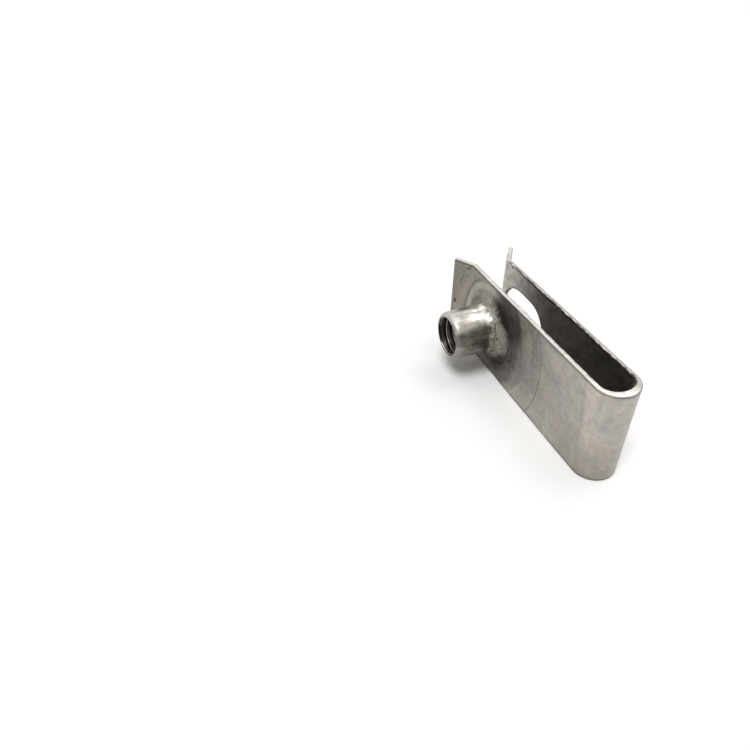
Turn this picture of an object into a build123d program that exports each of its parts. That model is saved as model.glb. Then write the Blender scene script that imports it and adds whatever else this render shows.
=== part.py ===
from build123d import *
import os

# U clip speed nut: one strip of spring steel, folded into a U.
# One leg carries a drawn and tapped barrel, the other an obround clearance slot.
# All sizes are in millimetres. The clip stands on one long edge of its strip.
#
# Frame: the origin is on the thread's axis, where the funnel ends and the threaded wall starts.
#   +X runs from the fold to the open end, +Y along the thread towards the barrel's nose,
#   +Z across the strip.

# Strip
sheet = 0.8
strip_width = 17.0
panel_gap = 5.7
edge_break = 0.12
corner_radius = 0.35

# Places along the legs, counted from the thread's axis
fold_reach = 32.3
nut_leg_reach = 6.75
slot_leg_reach = 6.55

# Lead-in flares at the open end
nut_flare_length = 3.6
nut_flare_angle = 31
nut_bend_radius = 1.5
slot_flare_length = 4.65
slot_flare_angle = 36
slot_bend_radius = 0.5

# Clearance slot for an M8 screw
slot_length = 13.1
slot_width = 9.7
slot_to_bend = 0.35

# Drawn barrel, with the plain wall that an M8 x 1.25 thread is cut in
bore_radius = 3.32
funnel_radius = 3.3
barrel_length = 8.15
barrel_base_radius = 4.3
barrel_nose_radius = 4.18
root_radius = 2.5
nose_round_length = 1.1
nose_rim = 0.06
lip_chamfer = 0.12
cutter_run_out = 1.0

# Faces of the two legs across the gap
nut_leg_inner_y = -funnel_radius
nut_leg_outer_y = nut_leg_inner_y + sheet
gap_centre_y = nut_leg_inner_y - panel_gap / 2
slot_leg_inner_y = nut_leg_inner_y - panel_gap
slot_leg_outer_y = slot_leg_inner_y - sheet
slot_centre_x = slot_leg_reach - slot_to_bend - slot_length / 2

# The fold is a half circle, tangent to both legs
fold_radius = panel_gap / 2
fold_centre_x = -fold_reach + sheet + fold_radius

# Barrel profile
nose_y = nut_leg_outer_y + barrel_length
root_top_y = nut_leg_outer_y + root_radius
nose_round_y = nose_y - nose_round_length
lip_outer_radius = bore_radius + lip_chamfer
rim_radius = lip_outer_radius + nose_rim


def near_length(edge, length):
    return abs(edge.length - length) < 1e-3


def on_outer_skin(face):
    touches_outer_line = face.distance_to(outer_side) < 1e-3
    touches_gap_line = face.distance_to(gap_side.wire()) < 1e-3
    return touches_outer_line and not touches_gap_line


with BuildPart() as u_clip_nut:
    # Section of the folded strip, drawn along the faces that look into the gap
    with BuildSketch(Plane.XY):
        with BuildLine():
            with BuildLine(mode=Mode.PRIVATE) as gap_side:
                slot_leg = Line((slot_leg_reach, slot_leg_inner_y), (fold_centre_x, slot_leg_inner_y))
                nut_leg = Line((fold_centre_x, nut_leg_inner_y), (nut_leg_reach, nut_leg_inner_y))
                CenterArc((fold_centre_x, gap_centre_y), fold_radius, 90, 180)
                nut_bend = JernArc(nut_leg @ 1, nut_leg % 1, nut_bend_radius + sheet, nut_flare_angle)
                slot_bend = JernArc(slot_leg @ 0, -(slot_leg % 0), slot_bend_radius + sheet, -slot_flare_angle)
                PolarLine(nut_bend @ 1, nut_flare_length, nut_flare_angle)
                PolarLine(slot_bend @ 1, slot_flare_length, -slot_flare_angle)
            add(gap_side.wire())
            outer_side = offset(amount=sheet, side=Side.LEFT)
        make_face()
    extrude(amount=strip_width / 2, both=True)

    # Corners of the two flares
    corners = u_clip_nut.edges().filter_by(lambda edge: near_length(edge, sheet))
    fillet(corners, corner_radius)

    # Blanking breaks the strip's edge on the outer skin and leaves it sharp on the gap side
    outer_skin = u_clip_nut.faces().filter_by(on_outer_skin)
    outer_rim = outer_skin.edges().filter_by(lambda edge: not near_length(edge, strip_width))
    chamfer(outer_rim, edge_break)

    # Clearance slot, punched through the leg that the screw's head bears on
    slot_plane = Plane((slot_centre_x, slot_leg_outer_y, 0), x_dir=(1, 0, 0), z_dir=(0, -1, 0))
    with BuildSketch(slot_plane):
        SlotOverall(slot_length, slot_width)
    extrude(amount=-sheet - cutter_run_out, mode=Mode.SUBTRACT)
    slot_rim = u_clip_nut.edges(Select.LAST).group_by(Axis.Y)[0]
    chamfer(slot_rim, edge_break)

    # Barrel, drawn out of the other leg, with a hollow root and a rounded nose
    with BuildSketch(Plane.XY):
        with BuildLine():
            root = CenterArc((barrel_base_radius + root_radius, root_top_y), root_radius, 180, 90)
            Line(root @ 0, (barrel_nose_radius, nose_round_y))
            nose_width = barrel_nose_radius - rim_radius
            nose = EllipticalCenterArc((rim_radius, nose_round_y), nose_width, nose_round_length, arc_size=90)
            Polyline(nose @ 1, (0, nose_y), (0, nut_leg_inner_y + sheet / 2),
                     ((root @ 1).X, nut_leg_inner_y + sheet / 2), root @ 1)
        make_face()
    revolve(axis=Axis.Y)

    # Funnel, bore and lip
    with BuildSketch(Plane.XY):
        with BuildLine():
            funnel = CenterArc((bore_radius + funnel_radius, 0), funnel_radius, 180, 90)
            Polyline(funnel @ 0, (bore_radius, nose_y - lip_chamfer), (lip_outer_radius, nose_y),
                     (lip_outer_radius, nose_y + cutter_run_out), (0, nose_y + cutter_run_out),
                     (0, nut_leg_inner_y - cutter_run_out),
                     ((funnel @ 1).X, nut_leg_inner_y - cutter_run_out), funnel @ 1)
        make_face()
    revolve(axis=Axis.Y, mode=Mode.SUBTRACT)

u_clip_nut.part.label = "u_clip_nut"

os.makedirs("parts", exist_ok=True)
export_step(u_clip_nut.part, "parts/u_clip_nut.step")
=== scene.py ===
import math

import bmesh
import bpy
import numpy as np
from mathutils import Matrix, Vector


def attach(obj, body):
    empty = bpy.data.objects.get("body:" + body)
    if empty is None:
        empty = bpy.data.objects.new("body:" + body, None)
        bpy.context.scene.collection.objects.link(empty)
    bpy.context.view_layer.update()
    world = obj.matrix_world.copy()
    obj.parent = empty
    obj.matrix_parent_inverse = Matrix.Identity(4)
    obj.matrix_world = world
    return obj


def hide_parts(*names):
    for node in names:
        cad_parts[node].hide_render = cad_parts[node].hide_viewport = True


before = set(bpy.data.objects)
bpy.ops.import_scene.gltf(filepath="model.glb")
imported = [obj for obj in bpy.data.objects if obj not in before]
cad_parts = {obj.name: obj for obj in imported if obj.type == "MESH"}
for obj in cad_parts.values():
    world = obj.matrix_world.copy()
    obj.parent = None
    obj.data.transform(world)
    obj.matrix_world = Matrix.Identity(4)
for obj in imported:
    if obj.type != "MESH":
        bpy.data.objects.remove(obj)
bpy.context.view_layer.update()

# Lengths below are in millimetres in the row frame, and MM turns them into metres at the end.
MM = 0.001
rng = np.random.default_rng(41)

# ---------------------------------------------------------------- the clip's sizes

SHEET = 0.8
HALF_WIDTH = 8.5
FOLD_X, FOLD_Y = -28.65, -6.15
FOLD_INNER = 2.85
FOLD_MIDDLE = FOLD_INNER + SHEET / 2
FOLD_LENGTH = math.pi * FOLD_MIDDLE
CORNER = 0.35          # rounded corners of the two flares
ROLL = 0.14            # rolled side of a sheared edge
CROWN = 0.1            # how far the slotted leg's edges are crowned
TORN_BACK = 0.06       # how far the torn side of a sheared edge lies back
FOLD_BULGE = 0.42      # how far the fold's edges bulge into the gap
DRAWN_IN = {-1: 0.21, 1: 0.09}         # how far drawing the barrel pulled each long edge in
RIPPLE_START, RIPPLE_STEP = 6.9, 1.55  # rings that it left in the sheet, by their radius


class Leg:
    """A leg of the folded strip. Lengths along it start at the thread's axis."""

    def __init__(self, face_y, outward, reach, bend, angle, flare, centre):
        self.face_y = face_y          # the face that looks into the gap
        self.outward = outward        # +1 where the outer skin is towards +Y
        self.reach = reach            # where the straight part ends
        self.bend = bend              # inside radius of the flare's bend
        self.angle = math.radians(angle)
        self.middle = bend + SHEET / 2
        self.tip = reach + self.middle * self.angle + flare
        self.centre = centre          # the hole's middle along the leg


NUT = Leg(-3.3, 1, 6.75, 1.5, 31, 3.6, 0.0)
SLOT = Leg(-9.0, -1, 6.55, 0.5, 36, 4.58, -0.35)

SLOT_RADIUS = 4.85
SLOT_STRAIGHT = 1.7
SLOT_QUARTER = SLOT_STRAIGHT + math.pi / 2 * SLOT_RADIUS

BORE = 3.32
THREAD_MAJOR = 3.93
PITCH = 1.25
BASE_R, NOSE_R = 4.3, 4.18
ROOT_R = 2.5
ROOT_X = BASE_R + ROOT_R
ROOT_SEAM = 6.75       # where the barrel's root meets the leg's skin
FUNNEL_R = 3.3
FUNNEL_X = BORE + FUNNEL_R
THREAD_END = -2.3      # where the funnel's bare part begins
NOSE_START, NOSE_Y = 4.55, 5.65
RIM_R, LIP_R, LIP_Y = 3.5, 3.44, 5.53
MEAN_R = 4.2           # turns an angle round the barrel into a length
THINNEST = 0.13        # what the thread leaves of the nose's wall
SOFTENED = 0.03        # how far the thread's crests are rounded

# ---------------------------------------------------------------- helpers

LATTICE_SIZE = 32
LATTICE = rng.uniform(-1, 1, (LATTICE_SIZE,) * 3)


def wave(x, y=0.0, z=0.0, size=1.0, seed=0):
    """Smooth noise from -1 to 1 whose lumps are about size across."""
    shape = np.broadcast_shapes(np.shape(x), np.shape(y), np.shape(z))
    at = [np.broadcast_to(np.asarray(v, float) / size + 7.31 * seed + 3.7 * i, shape)
          for i, v in enumerate((x, y, z))]
    low = [np.floor(v).astype(int) for v in at]
    part = [v - f for v, f in zip(at, low)]
    part = [p * p * (3 - 2 * p) for p in part]
    total = 0.0
    for i in (0, 1):
        for j in (0, 1):
            for k in (0, 1):
                share = 1.0
                for p, one in zip(part, (i, j, k)):
                    share = share * (p if one else 1 - p)
                corner = tuple((v + one) % LATTICE_SIZE for v, one in zip(low, (i, j, k)))
                total = total + share * LATTICE[corner]
    return total


def ease(x, low, high):
    """Rises smoothly from 0 at low to 1 at high, or falls where high is the smaller."""
    t = np.clip((np.asarray(x, float) - low) / (high - low), 0, 1)
    return t * t * (3 - 2 * t)


# ---------------------------------------------------------------- the folded sheet

def leg_station(a, leg):
    """The gap face's point and the normal towards the outer skin, at a along the leg."""
    phi = np.clip((a - leg.reach) / leg.middle, 0, leg.angle)
    beyond = np.maximum(a - leg.reach - leg.middle * leg.angle, 0)
    radius = leg.bend + SHEET
    x = np.minimum(a, leg.reach) + radius * np.sin(phi) + beyond * math.cos(leg.angle)
    rise = radius * (1 - np.cos(phi)) + beyond * math.sin(leg.angle)
    y = leg.face_y + leg.outward * rise
    return x, y, -np.sin(phi), leg.outward * np.cos(phi)


def fold_station(psi):
    """The same at the angle psi round the fold."""
    c, s = np.cos(psi), np.sin(psi)
    return FOLD_X + FOLD_INNER * c, FOLD_Y + FOLD_INNER * s, c, s


def draw_in(a, side, leg):
    """How far drawing the barrel pulls the strip's long edge in."""
    if leg is not NUT:
        return 0.0 * a
    return DRAWN_IN[side] * np.exp(-((a - 0.6) / 4.6) ** 2)


def corner_turn(a, leg):
    """Sine of the way round the rounded corner of the flare's end, 0 before it and 1 on the end face."""
    return np.clip((a - leg.tip + CORNER) / CORNER, 0, 1)


def tear(a, s, side, leg):
    """How far the broken part of a sheared edge lies back at the gap face, in lumps."""
    slotted = ease(-s, 30, 42)
    lumps = (1 + 1.4 * slotted) * (0.035 * wave(s, size=0.9, seed=40 + side)
                                   + 0.03 * wave(s, size=0.38, seed=50 + side))
    even = ease(a, leg.tip - 1.2, leg.tip - CORNER) if leg else 0
    return np.clip(TORN_BACK + lumps * (1 - even), 0.0, 0.3)


def tip_tear(z, leg):
    """The same on the flare's end face."""
    lumps = 0.05 * wave(z, size=1.1, seed=9 + leg.outward) * (1 - ease(np.abs(z), 7.4, 8.1))
    return np.clip(TORN_BACK + lumps, 0.0, 0.14)


def pull(z, inset):
    """Moves points near a long edge in by inset, and leaves those near the holes."""
    return z - np.sign(z) * inset * ease(np.abs(z), 7.0, HALF_WIDTH)


def unevenness(a, z, leg, seed):
    """Gentle waviness of the pressed sheet, along its normal. It fades out at the barrel."""
    r = np.hypot(a - leg.centre, z)
    far = ease(r, RIPPLE_START, 10.5) if leg is NUT else ease(r, 5.2, 9.0)
    ripple = 0.0
    if leg is NUT:
        ripple = 0.011 * np.sin(2 * math.pi * (r - RIPPLE_START) / RIPPLE_STEP)
        ripple = ripple * ease(r, RIPPLE_START, 7.5) * (1 - ease(r, 10.0, 17.0))
        ripple = ripple * (0.75 + 0.5 * wave(a, z, size=5.0, seed=3))
    soft = 0.022 * wave(a, z, size=7.0, seed=seed) + 0.007 * wave(a, z, size=2.2, seed=seed + 1)
    return (soft * far + ripple) * (1 - ease(a, leg.tip - 1.5, leg.tip)) * ease(a, FOLD_X, FOLD_X + 5)


# How far each skin lies back at a sheared edge, as (rolled, torn, crowned). 1 is the outer skin, and
# 0 the one at the gap.
SKIN_BACK = {1: (ROLL, 0, CROWN), 0: (0, 1, 0)}


def skin_point(a, z, w, leg):
    """A skin's point, pulled in at the long edges and at the flare's end."""
    s = strip_length(a, leg)
    skin = SKIN_BACK[w]
    moved = pull(z, np.where(z < 0, inset(a, s, -1, leg, *skin), inset(a, s, 1, leg, *skin)))
    shift = corner_turn(a, leg) * edge_back(s, *skin, tip_tear(z, leg))
    return sheet_point(a - shift, moved, w, leg)


def sheet_point(a, z, w, leg):
    """Places (a, z) of the flat strip at w through the sheet, 0 at the gap face and 1 outside."""
    x, y, nx, ny = leg_station(a, leg)
    off = w * SHEET + unevenness(a, z, leg, 11 if leg is NUT else 23)
    if leg is NUT:
        r = np.clip(ROOT_X - np.hypot(a, z), 0, ROOT_R)
        off = off + w * (ROOT_R - np.sqrt(ROOT_R ** 2 - r ** 2))
    return np.stack([x + off * nx, y + off * ny, z + 0 * a], -1)


def fold_point(psi, z, w):
    """The same round the fold."""
    x, y, nx, ny = fold_station(psi)
    s = (psi - math.pi / 2) * FOLD_MIDDLE
    fade = np.sin(psi - math.pi / 2) ** 2
    off = w * SHEET - 0.012 * fade * (1.4 + wave(s, z, size=4.0, seed=31))
    off = off - FOLD_BULGE * (1 - w) * fade * ease(np.abs(z), 6.5, 8.2)
    return np.stack([x + off * nx, y + off * ny, z + 0 * psi], -1)


# ---------------------------------------------------------------- patches of quads

class Patches:
    """Collects grids of points as quads, with a material and a flat layout for each."""

    def __init__(self):
        self.points, self.quads, self.slots, self.flat, self.count = [], [], [], [], 0

    def grid(self, points, slot, flat, closed=False):
        """Adds rows of points. closed joins the last column to the first."""
        rows, columns = points.shape[:2]
        index = self.count + np.arange(rows * columns).reshape(rows, columns)
        if closed:
            index = np.concatenate([index, index[:, :1]], 1)
            closing = flat[:, :1] + (flat[:, -1:] - flat[:, -2:-1]) + (flat[:, -1:] - flat[:, :1])
            flat = np.concatenate([flat, closing], 1)
        corners = [(slice(None, -1), slice(None, -1)), (slice(1, None), slice(None, -1)),
                   (slice(1, None), slice(1, None)), (slice(None, -1), slice(1, None))]
        quads = np.stack([index[c] for c in corners], -1).reshape(-1, 4)
        self.flat.append(np.stack([flat[c] for c in corners], -2).reshape(-1, 4, 3))
        self.points.append(points.reshape(-1, 3))
        self.quads.append(quads)
        self.slots.append(np.full(len(quads), slot))
        self.count += rows * columns


clip = Patches()
SKIN_OUT, SKIN_GAP, SHEARED, BARREL, THREAD = range(5)
# The flat layout's third number. It is w on the skins, and keeps the patterns of other faces apart.
EDGE_LAYER, TIP_LAYER, SLOT_LAYER, BARREL_LAYER, RIM_LAYER, THREAD_LAYER = 2, 3, 5, 6, 7, 8

SIDE = 56              # quads along one side of the square round a hole
AROUND = 4 * SIDE
HOLE_RINGS = 16
LEG_COLUMNS, TIP_STEP = 78, 0.26
rows = np.linspace(-HALF_WIDTH, HALF_WIDTH, SIDE + 1)

# Section of a sheared edge: its places w through the sheet, and how far each lies back, as
# (rolled, torn, crowned)
roll_turn = np.linspace(0, math.pi / 2, 6)
SECTION_W = np.concatenate([[0, 0.1, 0.22, 0.36, 0.5, 0.66],
                            1 - (ROLL - ROLL * np.sin(roll_turn)) / SHEET])
SECTION_BACK = np.concatenate([np.zeros(6), ROLL - ROLL * np.cos(roll_turn)])
SECTION_TORN = np.concatenate([[1, 0.72, 0.42, 0.16], np.zeros(len(SECTION_W) - 4)])
SECTION_CROWN = CROWN * ease(SECTION_W, 0.4, 1.0)
SECTION = (SECTION_BACK, SECTION_TORN, SECTION_CROWN)


def strip_length(a, leg):
    """Distance along the unfolded strip."""
    if leg is NUT:
        return a
    return 2 * FOLD_X - FOLD_LENGTH - a


def edge_back(s, back, torn, crown, lumps):
    """How far a sheared edge lies back. The slotted leg's is crowned, with a narrower rolled side."""
    slotted = ease(-s, 30, 38)
    return back * (1 - 0.6 * slotted) + crown * slotted + torn * lumps


def inset(a, s, side, leg, back, torn, crown):
    """How far a long edge lies inside the strip's full width."""
    lies_back = edge_back(s, back, torn, crown, tear(a, s, side, leg))
    return draw_in(a, side, leg) + CORNER - (CORNER - lies_back) * np.sqrt(1 - corner_turn(a, leg) ** 2)


def flat_of(s, z, layer):
    """The flat layout that the materials read."""
    s, z, layer = np.broadcast_arrays(s, z, layer)
    return np.stack([s, z, layer], -1).astype(float)


def leg_columns(leg, columns):
    """Both skins and both long edges over a run of columns."""
    a, z = columns[:, None], rows[None, :]
    for w, slot in ((1, SKIN_OUT), (0, SKIN_GAP)):
        clip.grid(skin_point(a, z, w, leg), slot, flat_of(strip_length(a, leg), z, w))
    for side in (-1, 1):
        long_edge(leg, columns, side)


def long_edge(leg, columns, side):
    """The sheared edge on one side, which also turns round the flare's corner."""
    a, w = columns[:, None], SECTION_W[None, :]
    s = strip_length(a, leg)
    lies_back = edge_back(s, *SECTION, tear(a, s, side, leg))
    back = inset(a, s, side, leg, *SECTION)
    points = sheet_point(a - corner_turn(a, leg) * lies_back, side * (HALF_WIDTH - back), w, leg)
    clip.grid(points, SHEARED, flat_of(s, w, EDGE_LAYER * side))


def leg_tip(leg):
    """The flare's end face, between its two rounded corners."""
    z, w = rows[:, None], SECTION_W[None, :]
    s = strip_length(leg.tip, leg)
    lies_back = edge_back(s, *SECTION, tip_tear(z, leg))
    points = sheet_point(leg.tip - lies_back, pull(z, CORNER), w, leg)
    clip.grid(points, SHEARED, flat_of(z, w, TIP_LAYER * leg.outward))


def square_ring(leg):
    """The places of a square round the hole, from the middle of its open-end side."""
    k = np.arange(AROUND)
    half = SIDE // 2
    side = ((k + half) // SIDE) % 4
    step = ((k + half) % SIDE) / SIDE * 2 - 1
    a = np.choose(side, [1 + 0 * step, -step, -1 + 0 * step, step])
    z = np.choose(side, [step, 1 + 0 * step, -step, -1 + 0 * step])
    return leg.centre + HALF_WIDTH * a, HALF_WIDTH * z


def obround(grow):
    """The slot's outline, grown outwards, at equal steps of its length."""
    at = np.arange(AROUND) / AROUND * 4
    corner = np.floor(at).astype(int)
    part = np.where(corner % 2 == 0, at - corner, corner + 1 - at) * SLOT_QUARTER
    arc = np.minimum(part, math.pi / 2 * SLOT_RADIUS) / SLOT_RADIUS
    run = np.maximum(part - math.pi / 2 * SLOT_RADIUS, 0)
    a = SLOT_STRAIGHT - run + (SLOT_RADIUS + grow) * np.cos(arc)
    z = (SLOT_RADIUS + grow) * np.sin(arc)
    a = a * np.where((corner == 1) | (corner == 2), -1, 1)
    z = z * np.where(corner >= 2, -1, 1)
    return SLOT.centre + a, z


turn = np.arange(AROUND) / AROUND * 2 * math.pi


def circle(radius):
    """The same for a round hole."""
    return radius * np.cos(turn), radius * np.sin(turn)


def hole_patch(leg, w, slot, inner):
    """Quads between a hole's outline and the square round it, on one skin."""
    outer_a, outer_z = square_ring(leg)
    t = np.linspace(0, 1, HOLE_RINGS + 1)[:, None] ** 1.25
    a = inner[0] * (1 - t) + outer_a * t
    z = inner[1] * (1 - t) + outer_z * t
    clip.grid(skin_point(a, z, w, leg), slot, flat_of(strip_length(a, leg), z, w), closed=True)


def tip_columns(leg, start):
    """The columns from the hole's square to the flare's end, closer together round its corner."""
    corner = leg.tip - CORNER + CORNER * np.sin(np.linspace(0, math.pi / 2, 6))
    bend_end = leg.reach + leg.middle * leg.angle
    stops = [start] + [v for v in (bend_end,) if v > start] + [leg.tip - CORNER]
    runs = [np.linspace(p, q, max(2, int((q - p) / TIP_STEP) + 2))[:-1] for p, q in zip(stops, stops[1:])]
    return np.concatenate(runs + [corner])


for leg in (NUT, SLOT):
    leg_columns(leg, np.linspace(FOLD_X, leg.centre - HALF_WIDTH, LEG_COLUMNS))
    leg_columns(leg, tip_columns(leg, leg.centre + HALF_WIDTH))
    around = np.linspace(leg.centre - HALF_WIDTH, leg.centre + HALF_WIDTH, SIDE + 1)
    for side in (-1, 1):
        long_edge(leg, around, side)
    leg_tip(leg)

# The fold
psi = np.linspace(math.pi / 2, 3 * math.pi / 2, 45)[:, None]
fold_s = FOLD_X - (psi - math.pi / 2) * FOLD_MIDDLE


def fold_inset(side, back, torn, crown):
    """How far the fold's edge lies inside the strip's full width."""
    return edge_back(fold_s, back, torn, crown, tear(0, fold_s, side, None))


for w, slot in ((1, SKIN_OUT), (0, SKIN_GAP)):
    z = rows[None, :]
    moved = pull(z, np.where(z < 0, fold_inset(-1, *SKIN_BACK[w]), fold_inset(1, *SKIN_BACK[w])))
    clip.grid(fold_point(psi, moved, w), slot, flat_of(fold_s, z, w))
for side in (-1, 1):
    back = fold_inset(side, *[part[None, :] for part in SECTION])
    z = pull(np.full(back.shape, side * HALF_WIDTH), back)
    w = SECTION_W[None, :]
    clip.grid(fold_point(psi, z, w), SHEARED, flat_of(fold_s, w, EDGE_LAYER * side))

# The slot's two skins and its punched wall
slot_torn = np.clip(0.05 + 0.05 * wave(4 * np.cos(turn), 4 * np.sin(turn), seed=15), 0, 0.13)
hole_patch(SLOT, 1, SKIN_OUT, obround(ROLL))
hole_patch(SLOT, 0, SKIN_GAP, obround(slot_torn))
wall = []
for w, back, torn in zip(SECTION_W, SECTION_BACK, SECTION_TORN):
    a, z = obround(back + torn * slot_torn)
    wall.append(sheet_point(a, z, w, SLOT))
slot_flat = flat_of(turn / (2 * math.pi) * 4 * SLOT_QUARTER, SECTION_W[:, None], SLOT_LAYER)
clip.grid(np.stack(wall), SHEARED, slot_flat, closed=True)

# ---------------------------------------------------------------- the drawn and tapped barrel


def revolve(profile, slot, layer, bump=None):
    """Turns (radius, y) pairs about the thread's axis. bump(radius, y) gives the radial change."""
    radius = profile[:, :1] + 0 * turn[None, :]
    y = profile[:, 1:] + 0 * turn[None, :]
    if bump is not None:
        radius = radius + bump(radius, y)
    points = np.stack([radius * np.cos(turn), y, radius * np.sin(turn)], -1)
    along = np.concatenate([[0], np.cumsum(np.hypot(*np.diff(profile, axis=0).T))])
    clip.grid(points, slot, flat_of(turn[None, :] * MEAN_R, along[:, None], layer), closed=True)


lean = np.linspace(math.acos((ROOT_X - ROOT_SEAM) / ROOT_R), 0, 24)
root = np.stack([ROOT_X - ROOT_R * np.cos(lean), -ROOT_R * np.sin(lean)], -1)
wall_steps = np.linspace(0, 1, 19)[1:, None]
straight = np.array([[BASE_R, 0.0]]) * (1 - wall_steps)
straight = straight + np.array([[NOSE_R, NOSE_START]]) * wall_steps
nose_turn = np.linspace(0, math.pi / 2, 13)[1:]
nose = np.stack([RIM_R + (NOSE_R - RIM_R) * np.cos(nose_turn),
                 NOSE_START + (NOSE_Y - NOSE_START) * np.sin(nose_turn)], -1)
outside = np.concatenate([root, straight, nose])


def barrel_bump(radius, y):
    """Draw marks along the wall, and the coarser root."""
    c, s = np.cos(turn)[None, :], np.sin(turn)[None, :]
    fade = 1 - ease(radius, 6.2, ROOT_SEAM)
    on_wall = ease(y, -0.9, 0.2) * (1 - ease(y, NOSE_START, NOSE_Y - 0.1))
    lines = 0.006 * wave(26 * c, 0.12 * y, 26 * s, seed=51)
    rough = 0.02 * wave(radius * c, y, radius * s, size=0.8, seed=53)
    rough = rough + 0.012 * wave(radius * c, y, radius * s, size=0.4, seed=54)
    return fade * (lines * on_wall + rough * (1 - ease(y, -1.2, -0.4)))


revolve(outside, BARREL, BARREL_LAYER, barrel_bump)

# The rim, the lip and the threaded wall, then the funnel out to the gap face
thread_rows = np.linspace(LIP_Y, THREAD_END, 134)
funnel_turn = np.linspace(math.asin(-THREAD_END / FUNNEL_R), math.pi / 2, 14)[1:]
funnel = np.stack([FUNNEL_X - FUNNEL_R * np.cos(funnel_turn), -FUNNEL_R * np.sin(funnel_turn)], -1)
bare = FUNNEL_X - np.sqrt(FUNNEL_R ** 2 - np.minimum(thread_rows, 0) ** 2)
inside = np.concatenate([np.stack([bare, thread_rows], -1), funnel])


def nose_outer(y):
    """The barrel's outside radius at y."""
    height = np.clip((y - NOSE_START) / (NOSE_Y - NOSE_START), 0, 1)
    return np.where(y > NOSE_START, RIM_R + (NOSE_R - RIM_R) * np.sqrt(1 - height ** 2), NOSE_R)


def thread_bump(radius, y):
    """A right-hand M8 x 1.25 groove, which the tap leaves shallow at the lip and on the funnel."""
    around = (math.pi / 2 - turn)[None, :] / (2 * math.pi)
    phase = (y / PITCH - around + 0.2) % 1 - 0.5
    from_groove = np.abs(phase) * PITCH
    vee = THREAD_MAJOR - math.sqrt(3) * np.maximum(from_groove - PITCH / 16, 0)
    over = np.minimum(vee, nose_outer(y) - THINNEST) - radius
    smooth = 0.5 * (over + np.sqrt(over ** 2 + SOFTENED ** 2))
    keep = ease(y, THREAD_END, THREAD_END + 0.2) * (1 - ease(y, LIP_Y - 0.06, LIP_Y))
    return np.maximum(smooth - 0.5 * SOFTENED, 0) * keep


revolve(np.array([[RIM_R, NOSE_Y], [LIP_R, NOSE_Y], [BORE, LIP_Y]]), BARREL, RIM_LAYER)
revolve(inside, THREAD, THREAD_LAYER, thread_bump)

hole_patch(NUT, 1, SKIN_OUT, circle(ROOT_SEAM))
hole_patch(NUT, 0, SKIN_GAP, circle(FUNNEL_X))

# ---------------------------------------------------------------- one closed mesh


def make_object(name, patches, materials):
    """Joins the patches at their shared edges into one closed surface."""
    mesh = bpy.data.meshes.new(name)
    points = np.concatenate(patches.points) * MM
    quads = np.concatenate(patches.quads)
    mesh.from_pydata(points.tolist(), [], quads.tolist())
    mesh.polygons.foreach_set("material_index", np.concatenate(patches.slots).astype(np.int32))
    mesh.attributes.new("unrolled", "FLOAT_VECTOR", "CORNER")
    flat = np.concatenate(patches.flat).astype(np.float32).ravel()
    mesh.attributes["unrolled"].data.foreach_set("vector", flat)
    for material in materials:
        mesh.materials.append(material)
    work = bmesh.new()
    work.from_mesh(mesh)
    bmesh.ops.remove_doubles(work, verts=work.verts, dist=1e-6)
    bmesh.ops.recalc_face_normals(work, faces=work.faces)
    if work.calc_volume(signed=True) < 0:
        bmesh.ops.reverse_faces(work, faces=work.faces)
    for face in work.faces:
        face.smooth = True
    open_edges = 0
    for edge in work.edges:
        if len(edge.link_faces) != 2:
            open_edges += 1
            continue
        kinds = {face.material_index for face in edge.link_faces}
        edge.smooth = kinds != {SHEARED, SKIN_GAP}     # the torn side keeps its sharp edge
    print("mesh", name, "faces", len(work.faces), "open edges", open_edges,
          "volume", round(work.calc_volume() / MM ** 3, 1))
    work.to_mesh(mesh)
    work.free()
    thing = bpy.data.objects.new(name, mesh)
    bpy.context.scene.collection.objects.link(thing)
    return thing


def aim(thing, towards):
    """Turns a lamp or camera to look along a direction."""
    thing.rotation_euler = Vector(towards).to_track_quat("-Z", "Y").to_euler()


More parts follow.
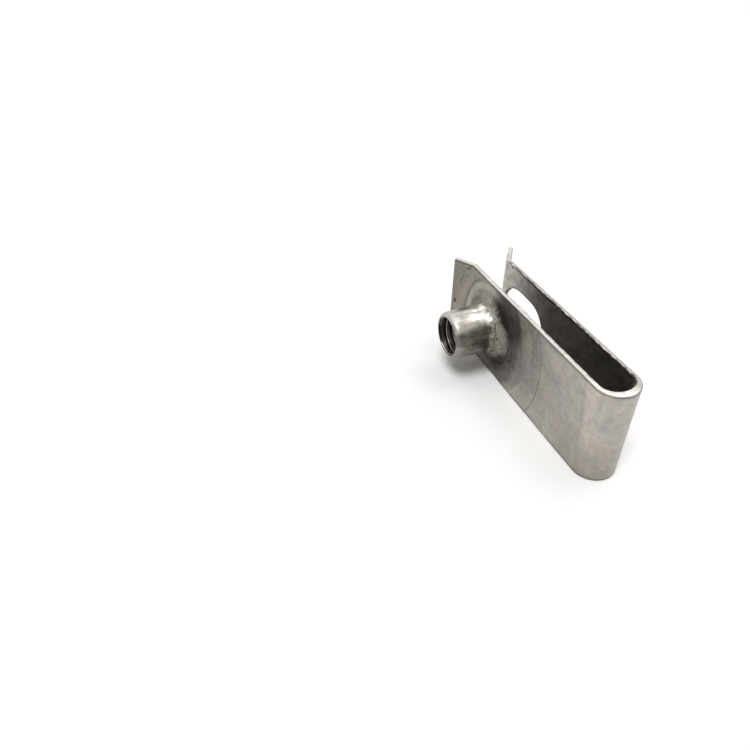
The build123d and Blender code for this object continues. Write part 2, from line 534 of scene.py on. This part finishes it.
class Graph:
    """Short ways to add nodes to a material or world."""

    def __init__(self, owner):
        owner.use_nodes = True
        self.tree = owner.node_tree
        self.tree.nodes.clear()

    def add(self, kind, inputs=None, **settings):
        node = self.tree.nodes.new(kind)
        for name, value in settings.items():
            setattr(node, name, value)
        for name, value in (inputs or {}).items():
            self.feed(node.inputs[name], value)
        return node

    def feed(self, socket, value):
        if isinstance(value, bpy.types.NodeSocket):
            self.tree.links.new(value, socket)
        elif isinstance(value, bpy.types.Node):
            self.tree.links.new(value.outputs[0], socket)
        else:
            socket.default_value = value

    def math(self, operation, *values):
        node = self.add("ShaderNodeMath", operation=operation)
        for socket, value in zip(node.inputs, values):
            self.feed(socket, value)
        return node.outputs[0]

    def vector(self, operation, *values):
        node = self.add("ShaderNodeVectorMath", operation=operation)
        for socket, value in zip(node.inputs, values):
            self.feed(socket, value)
        return node.outputs[1 if operation in ("LENGTH", "DOT_PRODUCT") else 0]

    def split(self, value):
        return self.add("ShaderNodeSeparateXYZ", {0: value}).outputs

    def join(self, x, y, z):
        return self.add("ShaderNodeCombineXYZ", {0: x, 1: y, 2: z}).outputs[0]

    def stretch(self, value, x, y, z, shift=0.0):
        """Divides the coordinate by a size per axis, which is the size of the lumps."""
        moved = self.vector("ADD", value, (shift, 1.7 * shift, 2.3 * shift))
        return self.vector("MULTIPLY", moved, (1 / x, 1 / y, 1 / z))

    def noise(self, at, detail=2.0, rough=0.5, twist=0.0):
        return self.add("ShaderNodeTexNoise", {"Vector": at, "Scale": 1.0, "Detail": detail,
                                               "Roughness": rough, "Distortion": twist}).outputs[0]

    def span(self, value, low, high, to_low=0.0, to_high=1.0, smooth=True):
        """Maps low to high onto to_low to to_high, and holds the ends."""
        kind = "SMOOTHSTEP" if smooth else "LINEAR"
        return self.add("ShaderNodeMapRange", {0: value, 1: low, 2: high, 3: to_low, 4: to_high},
                        interpolation_type=kind).outputs[0]

    def vary(self, noise, least, most, within=0.2):
        """Spreads what noise gives round 0.5 over least to most."""
        return self.span(noise, 0.5 - within, 0.5 + within, least, most)

    def near(self, value, middle, full, none):
        """1 within full of the middle, 0 beyond none."""
        return self.span(self.math("ABSOLUTE", self.minus(value, middle)), full, none, 1, 0)

    def rotated(self, value, degrees):
        """Turns the flat layout, so that what runs at that angle on it runs along s."""
        return self.add("ShaderNodeVectorRotate", {"Vector": value, "Angle": math.radians(-degrees)},
                        rotation_type="Z_AXIS").outputs[0]

    def facing(self, around, direction, low, high, to_low=0.0, to_high=1.0):
        """Rises where a unit vector turns towards a direction."""
        return self.span(self.vector("DOT_PRODUCT", around, direction), low, high, to_low, to_high)

    def chain(self, operation, values):
        total = values[0]
        for value in values[1:]:
            total = self.math(operation, total, value)
        return total

    def times(self, *values):
        return self.chain("MULTIPLY", values)

    def plus(self, *values):
        return self.chain("ADD", values)

    def minus(self, *values):
        return self.chain("SUBTRACT", values)

    def most(self, *values):
        return self.chain("MAXIMUM", values)

    def blend(self, share, first, second):
        node = self.add("ShaderNodeMix", {0: share}, data_type="RGBA")
        for socket, value in zip([i for i in node.inputs if i.type == "RGBA"], (first, second)):
            self.feed(socket, value)
        return [o for o in node.outputs if o.type == "RGBA"][0]

    def lerp(self, share, first, second):
        node = self.add("ShaderNodeMix", {0: share, 2: first, 3: second}, data_type="FLOAT")
        return node.outputs[0]


def steel(name, build):
    """A metal material. build(graph, place, flat) gives colour, brightness, roughness and height."""
    material = bpy.data.materials.new(name)
    g = Graph(material)
    place = g.vector("SCALE", g.add("ShaderNodeTexCoord").outputs["Object"])
    place.node.inputs["Scale"].default_value = 1 / MM
    flat = g.add("ShaderNodeAttribute", attribute_name="unrolled").outputs["Vector"]
    colour, level, rough, height = build(g, place, flat)
    lit = g.add("ShaderNodeVectorMath", {0: colour, "Scale": level}, operation="SCALE").outputs[0]
    bump = g.add("ShaderNodeBump", {"Strength": 1.0, "Distance": MM, "Height": height})
    shader = g.add("ShaderNodeBsdfPrincipled", {"Base Color": lit, "Metallic": 1.0, "Roughness": rough,
                                                "Normal": bump})
    g.add("ShaderNodeOutputMaterial", {"Surface": shader})
    return material


# The materials below read lengths in millimetres. s runs along the flat strip, from the thread's axis
# to the fold at FOLD_X and on to the slotted leg, z runs across it and w through it.

# Colours of the steel, by where it lies
SKIN_WARM, SKIN_GREY = (0.475, 0.437, 0.385, 1), (0.455, 0.434, 0.407, 1)
SKIN_BROWN = (0.45, 0.387, 0.325, 1)
SKIN_BEND, SKIN_FLARE = (0.475, 0.43, 0.385, 1), (0.455, 0.413, 0.347, 1)
CUT_NUT, CUT_SLOT, CUT_FOLD = (0.59, 0.57, 0.53, 1), (0.42, 0.405, 0.375, 1), (0.72, 0.7, 0.66, 1)
TORN, TORN_DARK_AND_PAINTED_SHADE = (0.32, 0.288, 0.248, 1), (0.075, 0.067, 0.058, 1)
ROOT_FLARE, ROOT_FOLD = (0.3, 0.276, 0.244, 1), (0.27, 0.247, 0.217, 1)
# A raised lip at the crack, painted with a glint
CRACK_LIP_PAINTED_GLINT = (0.6, 0.58, 0.54, 1)
# The barrel's wall colours and most of its nose colours paint its light and shade
WALL_PAINTED_UNDER_SHADE, WALL_PAINTED_TOP_LIGHT = (0.235, 0.215, 0.188, 1), (0.31, 0.288, 0.256, 1)
WALL_PAINTED_HALF_LIGHT, WALL_PAINTED_DEEP_SHADE = (0.28, 0.261, 0.232, 1), (0.14, 0.128, 0.112, 1)
WALL_PAINTED_CROWN_LIGHT, WALL_PAINTED_HIGHLIGHT = (0.5, 0.475, 0.435, 1), (0.53, 0.505, 0.463, 1)
WALL_PAINTED_GLINT = (0.82, 0.785, 0.72, 1)
NOSE_SIDE, NOSE_PAINTED_TOP_LIGHT = (0.32, 0.305, 0.282, 1), (0.47, 0.45, 0.42, 1)
NOSE_PAINTED_SHADE, NOSE_PAINTED_LOW_LIGHT = (0.13, 0.123, 0.113, 1), (0.66, 0.64, 0.6, 1)
CREST, GROOVE = (0.3, 0.28, 0.25, 1), (0.11, 0.096, 0.08, 1)
# Painted shade and a painted glint next to the thread's lip
LIP_PAINTED_SHADE, LIP_PAINTED_GLINT = (0.03, 0.027, 0.023, 1), (0.95, 0.9, 0.8, 1)

# Short dents in the outer skin: s, z, half length, half width, angle and depth
NICKS = [(8.25, 7.6, 0.55, 0.2, -14, 1.0), (7.95, 8.22, 0.3, 0.09, -9, 1.0),
         (10.55, 0.0, 0.27, 0.55, 5, 1.0), (9.4, 5.15, 1.25, 0.2, 115, 0.45)]
# Two thin arcs in the outer skin towards the fold, by their radius
OUTER_ARC, INNER_ARC = 16.7, 14.5


def rolled_skin(g, flat):
    """What both faces of the rolled strip share: tint, brightness, roughness and height."""
    cloud = g.noise(g.stretch(flat, 6, 5, 1, 3), 3, 0.55)
    mottle = g.noise(g.stretch(flat, 1.0, 1.1, 1, 9), 6, 0.66, 0.3)
    grain = g.noise(g.stretch(flat, 0.15, 0.16, 1), 2, 0.6)
    streak = g.noise(g.stretch(flat, 0.5, 6, 1, 5), 3, 0.6)
    tint = g.noise(g.stretch(flat, 2.2, 2.6, 1, 14), 4, 0.6)
    colour = g.blend(g.span(cloud, 0.35, 0.65), SKIN_GREY, SKIN_WARM)
    colour = g.blend(g.span(tint, 0.5, 0.75, 0, 0.8), colour, SKIN_BROWN)
    level = g.times(g.vary(cloud, 0.94, 1.05, 0.25), g.vary(mottle, 0.84, 1.13, 0.25),
                    g.vary(grain, 0.88, 1.09, 0.25), g.vary(streak, 0.97, 1.03, 0.25))
    rough = g.plus(g.vary(mottle, 0.31, 0.42, 0.3), g.vary(grain, -0.04, 0.05, 0.3))
    fine = g.noise(g.stretch(flat, 0.28, 0.28, 1, 2), 3, 0.6)
    height = g.plus(g.times(mottle, 0.02), g.times(fine, 0.012))
    pits = g.noise(g.stretch(flat, 0.42, 0.34, 1, 33), 2, 0.5)
    level = g.times(level, g.span(pits, 0.7, 0.78, 1, 0.62))
    return colour, level, rough, height


def fine_scratches(g, flat, angle, across, along, shift, low, high):
    """Thin lines at an angle on the flat strip, as a share from 0 to 1."""
    at = g.stretch(g.rotated(flat, angle), along, across, 1, shift)
    return g.span(g.noise(at, 2, 0.5), low, high)


def nick(g, flat, s, z, half_length, half_width, angle):
    """A short dent in the sheet at (s, z)."""
    turned = g.rotated(g.vector("SUBTRACT", flat, (s, z, 0.0)), angle)
    scaled = g.vector("MULTIPLY", turned, (1 / half_length, 1 / half_width, 0.0))
    return g.span(g.vector("LENGTH", scaled), 1.2, 0.6)


def painted_barrel_shade_and_creases(g, x, z):
    """Brightness round the barrel: painted shade in a dark crescent on the fold's side, and creases."""
    at = g.join(x, z, 0.0)
    lumps = g.vary(g.noise(g.stretch(at, 0.9, 0.9, 1, 12), 3, 0.6), -1, 1, 0.25)
    r = g.plus(g.vector("LENGTH", at), g.times(lumps, 0.3))
    around = g.vector("NORMALIZE", at)
    _, up, _ = g.split(around)
    start = g.facing(around, (-0.9994, 0.035, 0.0), 0.86, 0.97, 5.75, 7.15)
    stop = g.plus(10.65, g.times(g.most(up, 0.0), 1.9))
    past = g.minus(r, start)
    share = g.times(g.span(past, -0.45, 0.12), g.span(g.minus(r, stop), -0.9, 0.3, 1, 0),
                    g.facing(around, (-0.998, 0.07, 0.0), 0.1, 0.5))
    folds = g.noise(g.join(g.times(r, 1.6), g.times(x, 0.25), g.times(z, 0.25)), 3, 0.6)
    depth = g.times(g.span(up, 0.1, 0.75, 0.5, 0.2), g.span(up, -0.3, -0.65, 1.0, 0.66),
                    g.span(past, 0.1, 3.5, 0.8, 1.3), g.vary(folds, 0.75, 1.25))
    # Creases in the lower part of the root's boundary
    crease = g.near(g.noise(g.stretch(at, 1.5, 1.1, 1, 37), 2, 0.5), 0.5, 0.01, 0.045)
    crease = g.times(crease, g.near(r, 7.3, 0.8, 1.7), g.facing(around, (-0.848, -0.53, 0.0), 0.75, 0.92))
    return g.times(g.lerp(share, 1.0, depth), g.lerp(crease, 1.0, 0.45))


def outer_skin(g, place, flat):
    """The strip's outside, which drawing the barrel and folding the strip have marked, with painted shade
    round the barrel.
    """
    colour, level, rough, height = rolled_skin(g, flat)
    s, z, _ = g.split(flat)
    off_axis = g.join(s, z, 0.0)
    r = g.vector("LENGTH", off_axis)
    around = g.vector("NORMALIZE", off_axis)
    turn_s, turn_z, _ = g.split(around)
    lumps = g.vary(g.noise(g.stretch(flat, 0.9, 0.9, 1, 12), 3, 0.6), -1, 1, 0.25)
    broad = g.vary(g.noise(g.stretch(flat, 4, 4, 1, 6)), -1, 1)
    # Painted shade round the barrel, most on the fold's side, with painted light on the lower half away
    # from the barrel
    fold_side = g.facing(around, (-0.86, -0.5, 0.0), -0.3, 0.7)
    painted_shading_round_barrel = g.lerp(fold_side, g.span(r, 7, 12, 0.78, 0.55),
                      g.span(g.plus(r, g.times(broad, 2.0)), 9, 24.5, 0.52, 0.95, smooth=False))
    painted_shading_round_barrel = g.times(painted_shading_round_barrel, g.lerp(g.span(s, -25, -8), 1.0, g.span(z, -8.5, 1.0, 1.25, 1.0)))
    # Soft arcs round it
    ring_at = g.plus(g.times(r, 0.8), g.times(broad, 0.5))
    rings = g.noise(g.join(ring_at, g.times(turn_s, 0.7), g.times(turn_z, 0.7)), 3, 0.55)
    ring_share = g.times(g.span(r, 6.9, 7.6), g.span(r, 11, 17, 1, 0))
    fine_at = g.plus(g.times(r, 2.4), g.times(broad, 0.5))
    fine_rings = g.noise(g.join(fine_at, g.times(turn_s, 0.8), g.times(turn_z, 0.8)), 2, 0.6)
    swell = g.math("SINE", g.times(g.plus(r, g.times(broad, 0.3)), 2 * math.pi / 2.3))
    ring_level = g.times(g.vary(rings, 0.87, 1.11), g.vary(fine_rings, 0.88, 1.1),
                         g.span(swell, -1, 1, 0.93, 1.08))
    ring_level = g.lerp(ring_share, 1.0, ring_level)
    # Thin arcs on the flare's side
    flare_side = g.facing(around, (0.94, 0.34, 0.0), 0.6, 0.85)
    ring_r = g.plus(r, g.times(lumps, 0.12))
    dark_arc = g.times(g.near(ring_r, 8.35, 0.1, 0.42), flare_side)
    light_arc = g.times(g.near(ring_r, 7.5, 0.1, 0.35), flare_side)
    ring_level = g.times(ring_level, g.lerp(dark_arc, 1.0, 0.7), g.lerp(light_arc, 1.0, 1.1))
    # Two thin arcs further out, and the rougher sheet between them
    arcs_side = g.span(turn_s, -0.78, -0.92)
    broken = g.span(g.noise(g.stretch(flat, 0.5, 0.9, 1, 17), 2), 0.3, 0.5)
    outer_arc = g.near(g.plus(r, g.times(lumps, 0.16)), OUTER_ARC, 0.05, 0.2)
    outer_arc = g.times(outer_arc, arcs_side, broken)
    inner_arc = g.near(g.plus(r, g.times(lumps, 0.3)), INNER_ARC, 0.05, 0.3)
    inner_arc = g.times(inner_arc, arcs_side, g.span(z, -1, 2))
    between = g.times(g.near(r, (INNER_ARC + OUTER_ARC) / 2, 0.6, 1.1), arcs_side, g.span(z, -1.5, 1.5))
    speckle = g.noise(g.stretch(flat, 0.22, 0.3, 1, 26), 3, 0.7)
    arcs = g.times(g.lerp(outer_arc, 1.0, 0.5), g.lerp(inner_arc, 1.0, 0.78),
                   g.lerp(between, 1.0, g.vary(speckle, 0.56, 1.1, 0.15)))
    # Faint scratches running towards the fold, and a lighter band where the bend begins
    scratch = g.most(fine_scratches(g, flat, 34, 0.3, 3.6, 3, 0.62, 0.74),
                     g.times(fine_scratches(g, flat, 22, 0.16, 2.6, 21, 0.6, 0.74), 0.9))
    scratch = g.times(scratch, g.span(s, -13, -17), g.span(s, -29.0, -26.0))
    bend_at = g.plus(g.minus(s, g.times(z, 0.137)), g.times(lumps, 0.12))
    begun = g.times(g.span(bend_at, -28.1, -29.1), g.span(z, -7.0, 3.5, 0.0, 1.2))
    bend = g.times(begun, g.span(bend_at, -31.4, -29.3))
    bend_level = g.times(g.lerp(bend, 1.0, 1.13), g.lerp(g.times(begun, g.span(s, -35.5, -32)), 1.0, 1.06),
                         g.lerp(g.near(bend_at, -27.85, 0.05, 0.3), 1.0, 0.9))
    colour = g.blend(g.times(bend, 0.6), colour, SKIN_BEND)
    colour = g.blend(g.span(s, 5.0, 8.0, 0.0, 0.7), colour, SKIN_FLARE)
    low = g.lerp(g.span(s, -21, -26), 1.0, g.span(z, -8.5, 1.5, 0.8, 1.0))
    # Painted shade round the barrel comes in here twice
    level = g.times(level, low, painted_shading_round_barrel, ring_level, arcs, g.lerp(scratch, 1.0, 0.66), bend_level,
                    painted_barrel_shade_and_creases(g, s, z))
    # A dark line of painted shade along both rolled edges, and the dents
    line = g.near(g.plus(g.math("ABSOLUTE", z), g.times(lumps, 0.04)), HALF_WIDTH - 0.1, 0.1, 0.3)
    marks = g.most(*[g.times(nick(g, flat, *shape), depth) for *shape, depth in NICKS])
    level = g.times(level, g.lerp(line, 1.0, 0.6), g.lerp(marks, 1.0, 0.3))
    height = g.plus(height, g.times(rings, ring_share, 0.03), g.times(g.plus(outer_arc, scratch), -0.012),
                    g.times(speckle, between, 0.03))
    rough = g.plus(rough, g.times(g.span(r, 8, 16, 1, 0), 0.03))
    return colour, level, rough, height


def gap_skin(g, place, flat):
    """The strip's inside, with painted shade that darkens it in the depth of the gap."""
    colour, level, rough, height = rolled_skin(g, flat)
    s, z, _ = g.split(flat)
    blotch = g.noise(g.stretch(flat, 1.8, 1.4, 1, 41), 5, 0.68, 0.4)
    # Painted shade, deepest in the gap and lifting towards the slotted flare's end
    painted_gap_shade = g.times(g.span(s, -52, -68, 0.57, 0.86), g.span(s, -69, -72.5, 1.0, 1.2))
    specks = g.span(g.noise(g.stretch(flat, 0.3, 0.22, 1, 47), 2), 0.68, 0.76, 1, 0.45)
    level = g.times(level, painted_gap_shade, g.vary(blotch, 0.78, 1.2), specks)
    # The burr along the slotted leg's upper edge, broken and dark
    jagged = g.vary(g.noise(g.stretch(flat, 0.55, 0.4, 1, 52), 3, 0.65), -0.17, 0.17)
    burr = g.span(g.plus(g.math("ABSOLUTE", z), jagged), 8.12, 8.26)
    burr = g.times(burr, g.span(s, -40, -52, 0.4, 1.0), g.span(s, -73.0, -67.5))
    notch = nick(g, flat, -72.1, 8.15, 0.32, 0.26, 0)
    level = g.times(level, g.lerp(burr, 1.0, 0.2), g.lerp(notch, 1.0, 0.2))
    # Painted shade in a dark line round the slot
    a = g.math("ABSOLUTE", g.minus(s, strip_length(SLOT.centre, SLOT)))
    rim = g.vector("LENGTH", g.join(g.most(g.minus(a, SLOT_STRAIGHT), 0.0), z, 0.0))
    level = g.times(level, g.span(rim, SLOT_RADIUS + 0.08, SLOT_RADIUS + 0.32, 0.3, 1.0))
    return colour, level, rough, height


def sheared(g, place, flat):
    """The cut edges: bright on the sheared face, with painted shade on the rolled-over side, rough and
    darker where they tore.
    """
    s, w, layer = g.split(flat)
    lines = g.noise(g.join(g.times(s, 5.0), g.times(w, 0.5), 1.0), 3, 0.6)
    lumps = g.noise(g.join(g.times(s, 1.5), g.times(w, 2.0), 4.0), 3, 0.6)
    long_lumps = g.noise(g.join(g.times(s, 0.3), 0.0, 9.0), 3, 0.6)
    in_hole = g.span(layer, SLOT_LAYER - 0.1, SLOT_LAYER, smooth=False)
    on_slotted = g.times(g.span(s, -33, -36.5), g.span(s, -74.3, -73.1))
    torn_at = g.minus(w, g.times(in_hole, 0.6), g.times(on_slotted, 0.1))
    torn_at = g.plus(torn_at, g.times(g.near(s, -32.5, 3.0, 5.0), 0.3))
    torn = g.span(g.plus(torn_at, g.vary(lumps, -0.2, 0.2)), 0.2, 0.06)
    colour = g.blend(on_slotted, CUT_NUT, CUT_SLOT)
    colour = g.blend(g.near(s, -31.5, 2.0, 5.5), colour, CUT_FOLD)
    colour = g.blend(torn, colour, TORN)
    # Torn steel painted near black: painted shade in the slot's wall, and a dark torn band along the
    # slotted leg's edges
    colour = g.blend(g.times(torn, g.most(in_hole, on_slotted)), colour, TORN_DARK_AND_PAINTED_SHADE)
    # Painted shade on the rolled-over side
    rolled = g.span(g.plus(w, g.vary(lumps, -0.02, 0.02)), 0.84, 0.92)
    level = g.times(g.vary(lines, 0.88, 1.08), g.vary(lumps, 0.84, 1.1), g.vary(long_lumps, 0.88, 1.08),
                    g.lerp(rolled, 1.0, 0.45))
    rough = g.plus(g.lerp(torn, 0.3, 0.46), g.times(rolled, 0.1))
    height = g.plus(g.times(lines, 0.014), g.times(lumps, torn, 0.05))
    return colour, level, rough, height


def barrel_skin(g, place, flat):
    """The barrel's outside: the torn root, the drawn wall and the rounded nose, with painted light and
    shade.
    """
    x, y, z = g.split(place)
    off_axis = g.join(x, 0.0, z)
    r = g.vector("LENGTH", off_axis)
    around = g.vector("NORMALIZE", off_axis)
    dx, _, dz = g.split(around)
    lines = g.noise(g.join(g.times(dx, 30.0), g.times(y, 0.35), g.times(dz, 30.0)), 3, 0.65)
    wide = g.noise(g.join(g.times(dx, 6.0), g.times(y, 0.3), g.times(dz, 6.0)), 3, 0.6)
    blotch = g.noise(g.stretch(place, 0.55, 0.55, 0.55, 2), 4, 0.65)
    grain = g.noise(g.stretch(place, 0.14, 0.14, 0.14, 7), 2, 0.6)
    # The way towards the painted light on the tops of the wall and nose
    crown = (0.31, 0.0, 0.95)
    # On top the wall reaches further into the root, carrying the painted highlight
    painted_highlight_reach = g.span(dz, 0.3, 0.75, 0.0, 0.35)
    on_wall = g.span(g.plus(y, painted_highlight_reach, g.vary(blotch, -0.45, 0.45)), -0.95, -0.7)
    on_nose = g.span(g.plus(y, g.vary(wide, -0.35, 0.35)), 3.9, 4.7)
    # Painted highlight, brightest on the wall next to the root, along its crown
    narrow = g.times(g.span(y, 0.3, 1.4), -0.13)
    top = g.span(g.plus(g.vector("DOT_PRODUCT", around, (-0.087, 0.0, 0.996)), narrow), 0.68, 0.86)
    painted_highlight = g.times(g.near(g.plus(y, g.vary(lines, -0.8, 0.8)), 0.3, 1.5, 2.7), top)
    # Painted half light between the highlight and the shade below it
    between = g.times(g.near(y, 1.6, 0.7, 1.5), g.facing(around, (-0.866, 0.0, 0.5), 0.78, 0.93))
    # Painted shade on the wall's lower side
    painted_deep_shade = g.times(g.near(y, 1.5, 1.0, 2.4), g.span(dz, 0.35, -0.05))
    # A painted glint on top next to the root
    painted_glint = g.times(g.near(y, 0.1, 0.6, 1.5), g.facing(around, (0.14, 0.0, 0.99), 0.94, 0.985))
    # Painted light and shade: the wall lighter on top and darker beneath, with painted half light, shade,
    # crown light, highlight and glint laid over
    wall_colour = g.blend(g.span(dz, -0.1, 0.4), WALL_PAINTED_UNDER_SHADE, WALL_PAINTED_TOP_LIGHT)
    for share, tone in ((between, WALL_PAINTED_HALF_LIGHT), (painted_deep_shade, WALL_PAINTED_DEEP_SHADE),
                        (g.facing(around, crown, 0.86, 0.97), WALL_PAINTED_CROWN_LIGHT), (painted_highlight, WALL_PAINTED_HIGHLIGHT),
                        (painted_glint, WALL_PAINTED_GLINT)):
        wall_colour = g.blend(share, wall_colour, tone)
    # The nose painted lighter on top, with painted shade on its side towards the fold and painted light on
    # its lower side towards the open end
    nose_colour = g.blend(g.facing(around, crown, 0.6, 0.95), NOSE_SIDE, NOSE_PAINTED_TOP_LIGHT)
    for share, tone in ((g.facing(around, (-0.951, 0.0, 0.31), 0.93, 0.985, 0.0, 0.7), NOSE_PAINTED_SHADE),
                        (g.facing(around, (0.5, 0.0, -0.87), 0.3, 0.7), NOSE_PAINTED_LOW_LIGHT)):
        nose_colour = g.blend(share, nose_colour, tone)
    wall_colour = g.blend(on_nose, wall_colour, nose_colour)
    drawn = g.times(g.vary(lines, 0.62, 1.3), g.vary(wide, 0.82, 1.12))
    wall_level = g.lerp(on_nose, drawn, g.vary(wide, 0.92, 1.06))
    root_level = g.times(g.vary(blotch, 0.6, 1.22), g.vary(grain, 0.82, 1.14))
    fold_side = g.facing(around, (-0.86, 0.0, -0.5), -0.3, 0.6)
    root_colour = g.blend(fold_side, ROOT_FLARE, ROOT_FOLD)
    above = g.times(g.facing(around, (-0.53, 0.0, 0.848), 0.84, 0.96), g.span(r, 4.7, 5.4))
    root_level = g.times(root_level, g.lerp(above, 1.0, 0.7))
    # A crack in the root on the fold's side, with a painted glint on its lip
    crack_side = g.span(dx, -0.62, -0.8)
    crack_at = g.plus(y, g.vary(g.noise(g.stretch(place, 0.7, 0.7, 0.7, 5), 3, 0.6), -0.35, 0.35))
    crack = g.times(g.near(crack_at, -1.3, 0.02, 0.1), crack_side)
    lip = g.times(g.near(crack_at, -0.95, 0.03, 0.16), crack_side, g.span(grain, 0.5, 0.62))
    colour = g.blend(on_wall, root_colour, wall_colour)
    colour = g.blend(lip, colour, CRACK_LIP_PAINTED_GLINT)
    level = g.lerp(on_wall, root_level, wall_level)
    # Painted shade in a black line on the lip's edge
    painted_lip_shade = g.most(g.times(g.near(r, 3.56, 0.16, 0.22), g.span(dz, -0.6, -0.9)),
                      g.times(g.span(r, 3.53, 3.47), g.span(dz, 0.25, -0.1), g.span(dz, -0.9, -0.75)))
    # Painted shade round the barrel, the dark crack, and the painted shade on the lip's edge
    level = g.times(level, painted_barrel_shade_and_creases(g, x, z), g.lerp(crack, 1.0, 0.22), g.lerp(painted_lip_shade, 1.0, 0.1))
    rough = g.lerp(on_wall, 0.38, g.plus(g.vary(lines, 0.2, 0.32), g.span(y, 2.6, 4.0, 0.0, 0.18)))
    height = g.lerp(on_wall, g.plus(g.times(blotch, 0.12), g.times(grain, 0.03)), g.times(lines, 0.008))
    height = g.plus(height, g.times(crack, -0.1))
    return colour, level, rough, height


def thread_skin(g, place, flat):
    """The tapped bore: brighter crests, and a painted glint and a black line of painted shade next to the
    lip.
    """
    x, y, z = g.split(place)
    cloud = g.noise(g.stretch(place, 1.1, 0.5, 1.1, 4), 2, 0.5)
    off_axis = g.join(x, 0.0, z)
    dz = g.split(g.vector("NORMALIZE", off_axis))[2]
    # Painted shade in a black line next to the lip
    black = g.times(g.span(dz, 0.2, -0.15), g.span(y, 5.15, 5.3))
    # A painted glint on the bore's lower side next to the lip
    bright = g.times(g.span(dz, -0.8, -0.92), g.near(y, 5.25, 0.24, 0.34))
    colour = g.blend(g.span(g.vector("LENGTH", off_axis), BORE, BORE + 0.23), CREST, GROOVE)
    colour = g.blend(bright, g.blend(black, colour, LIP_PAINTED_SHADE), LIP_PAINTED_GLINT)
    return colour, g.vary(cloud, 0.82, 1.1), g.vary(cloud, 0.27, 0.34), g.times(cloud, 0.004)


# In the order of SKIN_OUT, SKIN_GAP, SHEARED, BARREL and THREAD
materials = [steel("skin_steel", outer_skin), steel("gap_steel", gap_skin), steel("sheared_steel", sheared),
             steel("barrel_steel", barrel_skin), steel("thread_steel", thread_skin)]
clip_piece = make_object("clip", clip, materials)
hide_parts("u_clip_nut")
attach(clip_piece, "root")

# ---------------------------------------------------------------- floor, light and camera

FLOOR_REACH, FLOOR_STEPS = 2.0, 24     # metres from the middle to each side, and quads along one
FLOOR_SEEN = 0.16      # what the paper gains for the camera, so that it reads as white
FLOOR_EXTRA = 0.12     # the same for rays that the steel mirrors
WORLD_SOFT = 0.08      # strength of the world's diffuse light, where the steel mirrors it at 1
WORLD_DARK = 0.12      # strength of a dark card in it
DARK_CARD = (-0.97, -0.12, 0.14)       # the way to the card
# Name, brightness, apparent width in degrees and the direction that it shines from
LAMPS = [("key", 11.0, 24, (-0.25, 0.30, 0.90)), ("overhead", 0.62, 100, (0.15, -0.2, 1.0)),
         ("back", 2.2, 24, (0.05, -0.34, 0.90))]
CAMERA_PLACE, CAMERA_WAY = (-0.08328, 0.05141, 0.06798), (0.7225, -0.2799, -0.6322)


def paper(g, level, blue=0.985):
    """Diffuse white, with a little less blue."""
    return g.add("ShaderNodeBsdfDiffuse", {"Color": (level, level, level * blue, 1)})


def rays(g, *kinds):
    """1 for rays of these kinds, 0 for the others."""
    path = g.add("ShaderNodeLightPath")
    return g.most(*[path.outputs[f"Is {kind} Ray"] for kind in kinds])


floor_mesh = bpy.data.meshes.new("floor")
grid_line = np.linspace(-FLOOR_REACH, FLOOR_REACH, FLOOR_STEPS + 1)
floor_x, floor_y = np.meshgrid(grid_line, grid_line, indexing="ij")
floor_points = np.stack([floor_x, floor_y, np.full_like(floor_x, -HALF_WIDTH * MM)], -1).reshape(-1, 3)
index = np.arange((FLOOR_STEPS + 1) ** 2).reshape(FLOOR_STEPS + 1, FLOOR_STEPS + 1)
floor_quads = np.stack([index[:-1, :-1], index[1:, :-1], index[1:, 1:], index[:-1, 1:]], -1)
floor_mesh.from_pydata(floor_points.tolist(), [], floor_quads.reshape(-1, 4).tolist())
floor = bpy.data.objects.new("floor", floor_mesh)
bpy.context.scene.collection.objects.link(floor)
# White paper that reads as the white background, and still takes the clip's shadow
floor_paper = bpy.data.materials.new("floor_paper")
g = Graph(floor_paper)
shown = rays(g, "Camera", "Glossy", "Transmission")
lifted = g.add("ShaderNodeMixShader", {0: shown, 1: paper(g, 0.0), 2: paper(g, FLOOR_EXTRA)})
lifted = g.add("ShaderNodeMixShader", {0: rays(g, "Camera"), 1: lifted, 2: paper(g, FLOOR_SEEN)})
both = g.add("ShaderNodeAddShader", {0: paper(g, 0.92, 0.995), 1: lifted})
g.add("ShaderNodeOutputMaterial", {"Surface": both})
floor_mesh.materials.append(floor_paper)

world = bpy.data.worlds.new("studio")
bpy.context.scene.world = world
g = Graph(world)
heading = g.vector("NORMALIZE", g.add("ShaderNodeTexCoord").outputs["Generated"])
# The steel mirrors the dark card, and the camera doesn't see it
dark = g.times(g.facing(heading, DARK_CARD, 0.7, 0.95), g.span(g.split(heading)[2], -0.02, 0.12),
               g.span(rays(g, "Camera"), 0.0, 1.0, 1.0, 0.0))
soft = g.add("ShaderNodeBackground", {"Color": (1, 1, 1, 1), "Strength": WORLD_SOFT})
seen = g.add("ShaderNodeBackground", {"Color": (1, 1, 1, 1), "Strength": g.lerp(dark, 1.0, WORLD_DARK)})
shown = rays(g, "Camera", "Glossy", "Transmission")
mixed = g.add("ShaderNodeMixShader", {0: shown, 1: soft, 2: seen})
g.add("ShaderNodeOutputWorld", {"Surface": mixed})


def lamp(name, level, across, source):
    """A far round softbox, level bright, across degrees wide and shining from source."""
    data = bpy.data.lights.new(name, "SUN")
    data.angle = math.radians(across)
    data.energy = level * math.pi * math.sin(data.angle / 2) ** 2
    thing = bpy.data.objects.new(name, data)
    bpy.context.scene.collection.objects.link(thing)
    aim(thing, [-v for v in source])


for made in LAMPS:
    lamp(*made)

camera_data = bpy.data.cameras.new("camera")
camera_data.sensor_width = 36
camera_data.lens = 31.78032
camera_data.clip_start = 0.005
camera_data.clip_end = 10
camera = bpy.data.objects.new("camera", camera_data)
bpy.context.scene.collection.objects.link(camera)
camera.location = CAMERA_PLACE
aim(camera, CAMERA_WAY)
bpy.context.scene.camera = camera

bpy.context.scene.view_settings.view_transform = "Standard"
